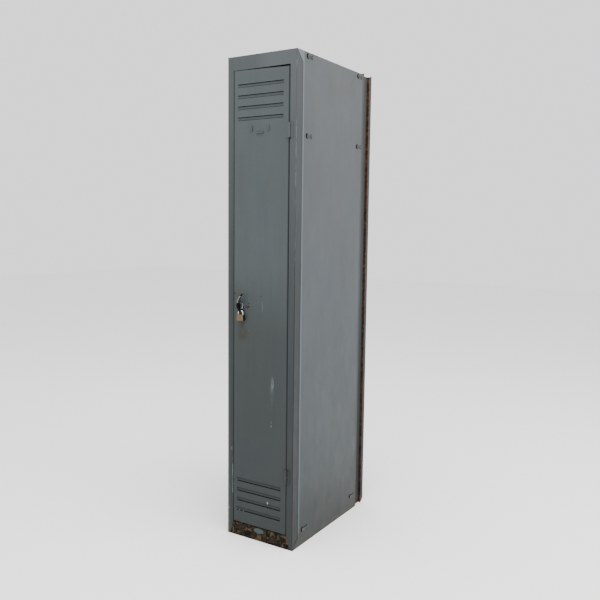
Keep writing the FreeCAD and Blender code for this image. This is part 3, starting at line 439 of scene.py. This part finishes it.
def panel_marks(material, place, colour):
    """Marks on the panels: a painted highlight up the front edge, painted shade up the rear edge, a dirty foot,
    and rust at the borders.
    """
    across, along, up = [add(material, "SeparateXYZ", (place,), out=axis) for axis in "XYZ"]
    from_middle = off(material, across)
    front_edge = 40 * MM
    # a painted highlight up the front edge
    colour = coat(material, colour, "#9FB0BC", (along, front_edge + 9 * MM, front_edge + 5 * MM),
                  (up, 0.015 * HEIGHT, 0.04 * HEIGHT), 0.12)
    # painted shade in a strip up the rear edge, beside the channel
    dull = where(material, (from_middle, HALF_WIDTH - 3 * MM, HALF_WIDTH - 2 * MM),
                 (along, BODY_BACK - 16 * MM, BODY_BACK - 10 * MM))
    colour = darker(material, colour, dull, 0.6)
    soil = clouds(material, place, 50 * MM, 4, 0.6, seed=8.0)
    colour = coat(material, colour, "#2B2A22", (up, 40 * MM, 0.0), soil, 1.3)
    # rust in spots along the foot, and up the rear and over the crown close to the sides only
    spots = clouds(material, place, 26 * MM, 2, 0.5, seed=2.0)
    foot = where(material, (up, 12 * MM, 3 * MM), (spots, 0.5, 0.58))
    rear = where(material, (along, BODY_BACK - 6 * MM, BODY_BACK), (spots, 0.5, 0.6))
    crown = where(material, (up, HEIGHT - 5 * MM, HEIGHT - 1 * MM), (spots, 0.52, 0.6))
    borders = where(material, where(material, rear, crown, joined="MAXIMUM"),
                    (from_middle, HALF_WIDTH - 14 * MM, HALF_WIDTH - 5 * MM))
    return rusted(material, place, colour, where(material, foot, borders, joined="MAXIMUM"))


# ----------------------------------------------------------------- other materials
def kick_enamel():
    """Grey enamel eaten by rust, with one sound patch of paint left in the middle."""
    material, place = new_material("stoved_enamel_rusted", roughness=0.82, specular=0.12)
    # swirls where the paint has lifted in scabs, with black cracks between scabs and between flakes
    swirled = pushed(material, place, 40 * MM, 2.0, 60 * MM)
    scabs = clouds(material, swirled, 30 * MM, 3, 0.55, (1.3, 1, 1))
    flakes = clouds(material, swirled, 11 * MM, 4, 0.6, (1.5, 1, 1), 5.0)
    cracks = where(material, (off(material, scabs, 0.5), 0.09, 0.01),
                   (off(material, flakes, 0.48), 0.035, 0.0), joined="MAXIMUM")
    fine = where(material, clouds(material, place, 5 * MM, 4, 0.65), 0.3)
    scale = add(material, "Math", (scabs, 0.7, fine), operation="MULTIPLY_ADD")
    colour = add(material, "ValToRGB", (scale,), stops=(
        (0.34, "#130E09"),
        (0.42, "#32291D"),
        (0.53, "#41382B"),
        (0.61, "#4C4133"),
        (0.72, "#5A4D3E"),
    ))
    colour = darker(material, colour, cracks, 0.03)
    hue = clouds(material, place, 50 * MM, 2, 0.5, seed=2.0)
    colour = shaded(material, colour, hue, ((0.35, "#DADCCB"), (0.5, "#EDE5D8"), (0.66, "#FBE3D2")), 0.8)
    # the sound patch, with a ragged outline
    patch = spot(material, pushed(material, place, 9 * MM, 3.0, 9 * MM),
                 (2.5 * MM, 4.5 * MM, kick_high.z - 9 * MM), (24 * MM, 40 * MM, 11.5 * MM), 0.12)
    colour = coat(material, colour, "#3D4545", patch)
    # painted shade along the top, in the gap under the door, and along the floor
    up = add(material, "SeparateXYZ", (place,), out="Z")
    ends = where(material, (up, kick_high.z - 7 * MM, kick_high.z), (up, 6 * MM, 0.0), joined="MAXIMUM")
    colour = coat(material, colour, "#0E0A07", ends, 0.7)
    relief = add(material, "Math", (patch, 0.5, scale), operation="MULTIPLY_ADD")
    return surface(material, colour, relief, 1.6 * MM, 0.9)


def channel_enamel():
    """Dull grey enamel on the web and lip; the rear wall's front face has rusted right through it."""
    material, place = new_material("stoved_enamel_channel", roughness=0.62, specular=0.2)
    along, up = [add(material, "SeparateXYZ", (place,), out=axis) for axis in "YZ"]
    rust_tone, blooms = rust(material, place)
    wall_front = BODY_BACK + CHANNEL_WALL
    normal = add(material, "NewGeometry", out="Normal")
    facing_front = off(material, add(material, "SeparateXYZ", (normal,), out="Y"))
    wall = where(material, (facing_front, 0.4, 0.6), (along, wall_front, wall_front + 3 * MM))
    # the paint is darker towards the floor as painted shade
    level = where(material, (up, 0.0, HEIGHT))
    paint = add(material, "ValToRGB", (level,), stops=((0.0, "#23282A"), (0.5, "#2F3436"), (1.0, "#373634")))
    faded = clouds(material, place, 60 * MM, 5, 0.6, (1, 1, 3))
    paint = shaded(material, paint, faded, ((0.3, 0.8), (0.7, 1.1)), 0.9)
    # the rust also creeps round the wall's edge, and in from both ends
    ends = where(material, (up, 40 * MM, 4 * MM), (up, HEIGHT - 3 * MM, HEIGHT + 2 * MM), joined="MAXIMUM")
    beside = where(material, (along, wall_front - 3 * MM, wall_front + 4 * MM),
                   (along, wall_front + 11 * MM, wall_front + 6 * MM))
    ragged = clouds(material, place, 6 * MM, 5, 0.7)
    creeping = where(material, where(material, ends, beside, joined="MAXIMUM"), (ragged, 0.4, 0.55))
    colour = coat(material, paint, rust_tone, where(material, creeping, wall, joined="MAXIMUM"))
    return surface(material, colour, blooms, 0.8 * MM, 0.6)


def plated_steel(name, clean, dark, roughness, wear):
    """Plated steel gone dull: metal with dark tarnish in patches a few millimetres across.

    wear is where in the clouds, from 0 to 1, the tarnish starts; a lower one tarnishes more.
    """
    material, place = new_material(name, roughness, metallic=1.0)
    patches = clouds(material, place, 5 * MM, 5, 0.65)
    tarnish = where(material, (patches, wear, wear + 0.18))
    colour = coat(material, linear(clean), dark, tarnish)
    rougher = add(material, "Math", (tarnish, 0.35, roughness), operation="MULTIPLY_ADD")
    less_metal = add(material, "Math", (tarnish, -0.6, 1.0), operation="MULTIPLY_ADD")
    return surface(material, colour, patches, 0.12 * MM, 0.5, rougher, less_metal)


def clip_enamel():
    """Spring clips that were painted with the panels: darkened nearly to black all over as painted shade, and
    rubbed to rust and bare steel.
    """
    material, place = new_material("rubbed_enamel", roughness=0.5)
    wear = clouds(material, place, 6 * MM, 4, 0.65)
    colour = add(material, "ValToRGB", (wear,), stops=(
        (0.36, "#080706"),
        (0.46, "#141312"),
        (0.54, "#2A1F17"),
        (0.62, "#363B3C"),
    ))
    return surface(material, colour, wear, 0.3 * MM, 0.6)


def latch_zinc():
    """Zinc plate on the cast lever: a painted highlight on the stem and the eye's right bar, and black
    elsewhere.
    """
    plate_roughness = 0.34
    material, place = new_material("worn_zinc_casting", plate_roughness, metallic=1.0, specular=0.1)
    from_latch = add(material, "VectorMath", (place, LATCH), operation="SUBTRACT")
    across, along, up = [add(material, "SeparateXYZ", (from_latch,), out=axis) for axis in "XYZ"]
    patches = clouds(material, place, 6 * MM, 5, 0.65)
    # black left half of the eye, with the dark carried up the left edge of the leaning stem
    lean = add(material, "Math", (up, -0.16, across), operation="MULTIPLY_ADD")
    left = where(material, (lean, -2 * MM, -7 * MM), (along, -7 * MM, -10 * MM), joined="MAXIMUM")
    left = where(material, left, (up, 20 * MM, 9 * MM))
    # with the tip and the hanging foot, which are black too
    dark = where(material, left, (up, 36 * MM, 42 * MM), (up, -9 * MM, -14 * MM), joined="MAXIMUM")
    ragged = add(material, "Math", (patches, 1.2, dark), operation="MULTIPLY_ADD")
    black_parts = where(material, (ragged, 1.0, 1.35))
    colour = add(material, "ValToRGB", (patches,), stops=(
        (0.32, "#46424A"),
        (0.5, "#7A787F"),
        (0.66, "#A3A2AA"),
    ))
    # a painted highlight down the eye's right bar and the stem
    colour = coat(material, colour, "#D6DADF", (across, 7 * MM, 10 * MM), (up, -12 * MM, -8 * MM),
                  (up, 15 * MM, 11 * MM))
    colour = coat(material, colour, "#060404", black_parts)
    rougher = add(material, "Math", (black_parts, 0.36, plate_roughness), operation="MULTIPLY_ADD")
    less_metal = add(material, "Math", (black_parts, -0.9, 1.0), operation="MULTIPLY_ADD")
    return surface(material, colour, patches, 0.2 * MM, 0.5, rougher, less_metal)


def collar_rust():
    """The stud's steel collar: red-brown rust over the top, a painted highlight across the middle, painted
    shade over the lower part, and a socket blackened as painted shade.
    """
    material, place = new_material("rusted_steel", roughness=0.6)
    foot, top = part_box("door_stud")
    up = add(material, "SeparateXYZ", (place,), out="Z")
    above = add(material, "Math", (up, foot.z), operation="SUBTRACT")
    level = add(material, "Math", (above, top.z - foot.z), operation="DIVIDE")
    # from the foot up: painted shade, a painted highlight across the middle, then red-brown rust over the top
    colour = add(material, "ValToRGB", (level,), stops=(
        (0.2, "#0C0A0A"),
        (0.42, "#100D0C"),
        (0.56, "#4E484A"),
        (0.68, "#453E40"),
        (0.8, "#3A1F20"),
        (0.95, "#241414"),
    ))
    fleck = clouds(material, place, 3 * MM, 4, 0.6)
    colour = shaded(material, colour, fleck, ((0.35, 0.6), (0.65, 1.2)), 0.8)
    # painted shade in the socket
    socket = ((foot.x + top.x) / 2 + 1 * MM, 0, (foot.z + top.z) / 2 - 2.5 * MM)
    colour = dots(material, place, colour, ((socket, (4.6 * MM, POST_REACH, 4.2 * MM), "#040303"),))
    return surface(material, colour, fleck, 0.3 * MM, 0.6)


def brass():
    """Drawn brass bar, brushed across and browned by handling."""
    material, place = new_material("brushed_brass", roughness=0.38, metallic=1.0)
    patches = clouds(material, place, 7 * MM, 4, 0.6)
    colour = add(material, "ValToRGB", (patches,), stops=(
        (0.3, "#5C4E39"),
        (0.5, "#6E6048"),
        (0.72, "#7E7158"),
    ))
    # painted shade darkens the sides and the underside
    normal = add(material, "NewGeometry", out="Normal")
    facing_right, facing_up = [add(material, "SeparateXYZ", (normal,), out=axis) for axis in "XZ"]
    side_and_under_shade = where(material, (off(material, facing_right), 0.4, 0.8), (facing_up, -0.3, -0.8),
                     joined="MAXIMUM")
    colour = darker(material, colour, side_and_under_shade, 0.3)
    # brush lines about 0.4 mm apart, coarser than the real ones so that they show
    lines = clouds(material, place, 0.8 * MM, 3, 0.6, (14, 1, 1))
    colour = shaded(material, colour, lines, ((0.3, 0.8), (0.7, 1.06)), 0.8)
    roughness = add(material, "ValToRGB", (lines,), stops=((0.3, 0.34), (0.7, 0.5)))
    return surface(material, colour, lines, 0.05 * MM, 0.6, roughness)


def buffer_rubber():
    """Moulded black rubber, dusty: matt with a fine grain."""
    material, place = new_material("moulded_rubber", roughness=0.8)
    dust = clouds(material, place, 2 * MM, 4, 0.6)
    colour = add(material, "ValToRGB", (dust,), stops=((0.35, "#191919"), (0.7, "#35322F")))
    return surface(material, colour, dust, 0.1 * MM, 0.5)


MATERIALS = {
    "door_enamel": enamel("stoved_enamel_door", DOOR_PAINT_AND_SHADE, door_marks),
    "frame_enamel": enamel("stoved_enamel_frame", FRAME_PAINT_AND_SHADE, post_marks),
    "panel_enamel": enamel("stoved_enamel_panel", PANEL_PAINT_AND_SHADE, panel_marks, grime=0.3),
    "rusted_enamel": kick_enamel(),
    "channel_steel": channel_enamel(),
    "clip_steel": clip_enamel(),
    "rivet_steel": plated_steel("tarnished_plated_steel", "#8B8D8E", "#4F463E", 0.4, 0.5),
    "zinc_steel": plated_steel("zinc_plated_steel", "#B9BCBE", "#6A6864", 0.35, 0.55),
    "latch_steel": latch_zinc(),
    "shackle_steel": plated_steel("polished_plated_steel", "#B7BCC0", "#4C5054", 0.2, 0.56),
    "padlock_brass": brass(),
    "buffer_rubber": buffer_rubber(),
}
COLLAR = collar_rust()
slots = {part["node"]: part["material_slot"] for part in frame["record"]["subparts"]}
for name, piece in nodes.items():
    piece.data.materials.clear()
    piece.data.materials.append(MATERIALS[slots[name]])


# ------------------------------------------------------------------------ pieces
def mesh_piece(name, shape, body, slot, replaced):
    """A finished bmesh as an object on a body, standing for CAD nodes, smooth but for its sharp edges."""
    mesh = bpy.data.meshes.new(name)
    shape.to_mesh(mesh)
    shape.free()
    mesh.shade_smooth()
    mesh.set_sharp_from_angle(angle=math.radians(35))
    piece = bpy.data.objects.new(name, mesh)
    bpy.context.collection.objects.link(piece)
    mesh.materials.append(MATERIALS[slot])
    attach(piece, body)
    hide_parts(*replaced)
    return piece


def softened(node, body, width, segments=2):
    """A copy of a CAD node with its sharp edges rounded off by a width."""
    shape = bmesh.new()
    shape.from_mesh(nodes[node].data)
    bmesh.ops.remove_doubles(shape, verts=shape.verts, dist=0.002 * MM)
    bmesh.ops.dissolve_limit(shape, angle_limit=math.radians(1), verts=shape.verts, edges=shape.edges)
    piece = mesh_piece(node + "_soft", shape, body, slots[node], [node])
    rounding = piece.modifiers.new("rounded_edges", "BEVEL")
    rounding.width = width
    rounding.segments = segments
    rounding.limit_method = "ANGLE"
    rounding.angle_limit = math.radians(28)
    rounding.harden_normals = True


def turned(shape, centre, profile, steps):
    """A turned solid: a profile of (radius, place along y) spun in steps about the y line through a centre."""
    axis = Vector((0, 1, 0))
    points = [shape.verts.new(centre + Vector((radius, along, 0))) for radius, along in profile]
    edges = [shape.edges.new(pair) for pair in zip(points, points[1:])]
    bmesh.ops.spin(shape, geom=points + edges, cent=centre, axis=axis, angle=math.tau, steps=steps,
                   use_merge=True)


def closed(shape):
    """The shape with its doubles merged and its faces turned outwards."""
    bmesh.ops.remove_doubles(shape, verts=shape.verts, dist=0.01 * MM)
    bmesh.ops.recalc_face_normals(shape, faces=shape.faces)
    return shape


def shackle():
    """The padlock's bow: round bar bent over in a half circle, with one leg longer than the other."""
    foot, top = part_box("padlock_shackle")
    radius = (top.y - foot.y) / 2
    bend = (top.x - foot.x) / 2 - radius
    centre = Vector(((foot.x + top.x) / 2, (foot.y + top.y) / 2, top.z - radius - bend))
    body_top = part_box("padlock_body")[1].z
    shape = bmesh.new()
    leg = Matrix.Translation(centre + Vector((bend, 0, 0)))
    ring = bmesh.ops.create_circle(shape, cap_ends=False, radius=radius, segments=20, matrix=leg)["verts"]
    rim = list({edge for vert in ring for edge in vert.link_edges})
    spun = bmesh.ops.spin(shape, geom=ring + rim, cent=centre, axis=(0, 1, 0), angle=-math.pi,
                          steps=28, use_merge=False)["geom_last"]
    far_rim = [item for item in spun if isinstance(item, bmesh.types.BMEdge)]
    # the short leg ends a little inside the body, and the long one near the foot of its hole
    for edges, end in ((rim, body_top - 5 * MM), (far_rim, foot.z + 0.2 * MM)):
        grown = bmesh.ops.extrude_edge_only(shape, edges=edges)["geom"]
        verts = [item for item in grown if isinstance(item, bmesh.types.BMVert)]
        bmesh.ops.translate(shape, verts=verts, vec=(0, 0, end - centre.z))
        end_rim = [item for item in grown if isinstance(item, bmesh.types.BMEdge)]
        bmesh.ops.contextual_create(shape, geom=end_rim)
    mesh_piece("bent_shackle", closed(shape), "shackle", "shackle_steel", ["padlock_shackle"])


def rivets():
    """Domed rivets down both rear channels."""
    foot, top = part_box("back_rivets")
    head = 3.6 * MM
    shank = 2 * MM
    count = 7
    front = BODY_BACK - 2 * MM
    shape = bmesh.new()
    step = (top.z - foot.z - 2 * head) / (count - 1)
    for across in (foot.x + head, top.x - head):
        for index in range(count):
            turned(shape, Vector((across, 0, foot.z + head + index * step)), [
                (0, front),
                (shank, front),
                (shank, top.y - 1.4 * MM),
                (head, top.y - 1.4 * MM),
                (0.93 * head, top.y - 0.8 * MM),
                (0.7 * head, top.y - 0.3 * MM),
                (0.35 * head, top.y - 0.05 * MM),
                (0, top.y),
            ], steps=16)
    mesh_piece("domed_rivets", closed(shape), "carcass", "rivet_steel", ["back_rivets"])


def stud():
    """A rusted collar beside the latch with an empty socket in its middle."""
    foot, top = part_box("door_stud")
    radius = (top.x - foot.x) / 2
    shank = 2 * MM
    shape = bmesh.new()
    turned(shape, Vector(((foot.x + top.x) / 2, 0, (foot.z + top.z) / 2)), [
        (0, -0.1 * MM),
        (0.36 * radius, -0.2 * MM),
        (0.42 * radius, 0.75 * foot.y),
        (0.52 * radius, 0.98 * foot.y),
        (0.68 * radius, foot.y),
        (0.84 * radius, 0.8 * foot.y),
        (0.97 * radius, 0.35 * foot.y),
        (radius, -0.05 * MM),
        (shank, -0.01 * MM),
        (shank, top.y),
        (0, top.y),
    ], steps=32)
    piece = mesh_piece("socket_collar", closed(shape), "door", "rusted_enamel", ["door_stud"])
    piece.data.materials[0] = COLLAR


def buffers():
    """Rubber buffers with rounded faces, at the door's head, foot and above its middle."""
    foot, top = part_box("door_buffers")
    radius = (top.x - foot.x) / 2
    across = (foot.x + top.x) / 2
    lowest, highest = foot.z + radius, top.z - radius
    middle_part = 0.65
    shape = bmesh.new()
    for level in (lowest, lowest + (highest - lowest) * middle_part, highest):
        turned(shape, Vector((across, 0, level)), [
            (0, foot.y),
            (0.7 * radius, foot.y),
            (0.92 * radius, foot.y + 0.3 * MM),
            (radius, foot.y + 0.9 * MM),
            (radius, top.y - 1.2 * MM),
            (0.9 * radius, top.y),
            (0, top.y),
        ], steps=24)
    mesh_piece("rubber_buffers", closed(shape), "carcass", "buffer_rubber", ["door_buffers"])


shackle()
rivets()
stud()
buffers()
softened("padlock_body", "padlock", 0.7 * MM, 3)
softened("padlock_plug", "key_plug", 0.2 * MM)
softened("latch_lever", "latch", 0.9 * MM, 3)
softened("latch_bush", "door", 0.5 * MM)
for name in ("latch_cam", "latch_cam_nut", "latch_spindle"):
    softened(name, "latch", 0.4 * MM)
softened("latch_bush_nut", "door", 0.4 * MM)
for level in ("lower", "upper"):
    softened(f"hinge_{level}_frame_leaf", "carcass", 0.4 * MM)
    softened(f"hinge_{level}_door_leaf", "door", 0.4 * MM)
    softened(f"hinge_{level}_pin", "carcass", 0.5 * MM)
for side in ("left", "right"):
    softened(f"coat_hook_{side}", "carcass", 0.4 * MM)
    softened(f"side_clips_{side}", "carcass", 0.3 * MM)
softened("coat_hook_middle", "carcass", 0.4 * MM)
softened("strike_plate", "carcass", 0.3 * MM)


# ------------------------------------------------------------- floor, light, camera
def floor():
    """A pale matt floor that runs far past the cabinet, in metres."""
    mesh = bpy.data.meshes.new("floor")
    shape = bmesh.new()
    bmesh.ops.create_grid(shape, x_segments=1, y_segments=1, size=12)
    shape.to_mesh(mesh)
    shape.free()
    thing = bpy.data.objects.new("floor", mesh)
    bpy.context.collection.objects.link(thing)
    material, place = new_material("matt_floor_paint", roughness=0.9)
    wear = clouds(material, place, 0.5, 3, 0.5)
    mesh.materials.append(surface(material, shaded(material, linear("#FBFBFA"), wear, ((0, 0), (1, 1)), 0.03)))


def lamp(name, place, target, size, power):
    """A soft square lamp of a size in metres and a power in watts, aimed at a target."""
    data = bpy.data.lights.new(name, "AREA")
    data.shape = "SQUARE"
    data.size = size
    data.energy = power
    thing = bpy.data.objects.new(name, data)
    bpy.context.collection.objects.link(thing)
    thing.location = place
    thing.rotation_euler = (Vector(target) - Vector(place)).to_track_quat("-Z", "Y").to_euler()


def lights():
    """A bright room: an even white surround, a large lamp overhead and a weaker one from the right."""
    world = bpy.data.worlds.new("white_room")
    bpy.context.scene.world = world
    world.use_nodes = True
    surround = world.node_tree.nodes["Background"].inputs
    surround["Color"].default_value = linear("#FFFFFF")
    surround["Strength"].default_value = 1.5
    lamp("overhead", place=(0.6, -1.0, 4.4), target=(0, 0.1, 1.2), size=2.6, power=200)
    lamp("right_fill", place=(3.4, 0.6, 2.8), target=(0.1, 0.3, 1.0), size=2.0, power=90)


def camera():
    """A camera at chest height, to the right of the front, turned a little down and leaning slightly."""
    data = bpy.data.cameras.new("camera")
    sensor_mm, lens_mm, farthest_m = 36, 41.8, 60
    data.sensor_width = sensor_mm
    data.lens = lens_mm
    data.clip_end = farthest_m
    thing = bpy.data.objects.new("camera", data)
    bpy.context.collection.objects.link(thing)
    place = (1.4925, -2.1078, 1.2239)
    yaw = math.radians(-32.016)
    pitch = math.radians(-6.258)
    roll = math.radians(0.669)
    forward = Vector((math.sin(yaw) * math.cos(pitch), math.cos(yaw) * math.cos(pitch), math.sin(pitch)))
    level_right = Vector((math.cos(yaw), -math.sin(yaw), 0))
    level_up = level_right.cross(forward)
    right = level_right * math.cos(roll) + level_up * math.sin(roll)
    up = level_up * math.cos(roll) - level_right * math.sin(roll)
    turn = Matrix((right, up, -forward)).transposed()
    thing.matrix_world = Matrix.Translation(place) @ turn.to_4x4()
    bpy.context.scene.camera = thing


floor()
lights()
camera()

bpy.context.view_layer.update()
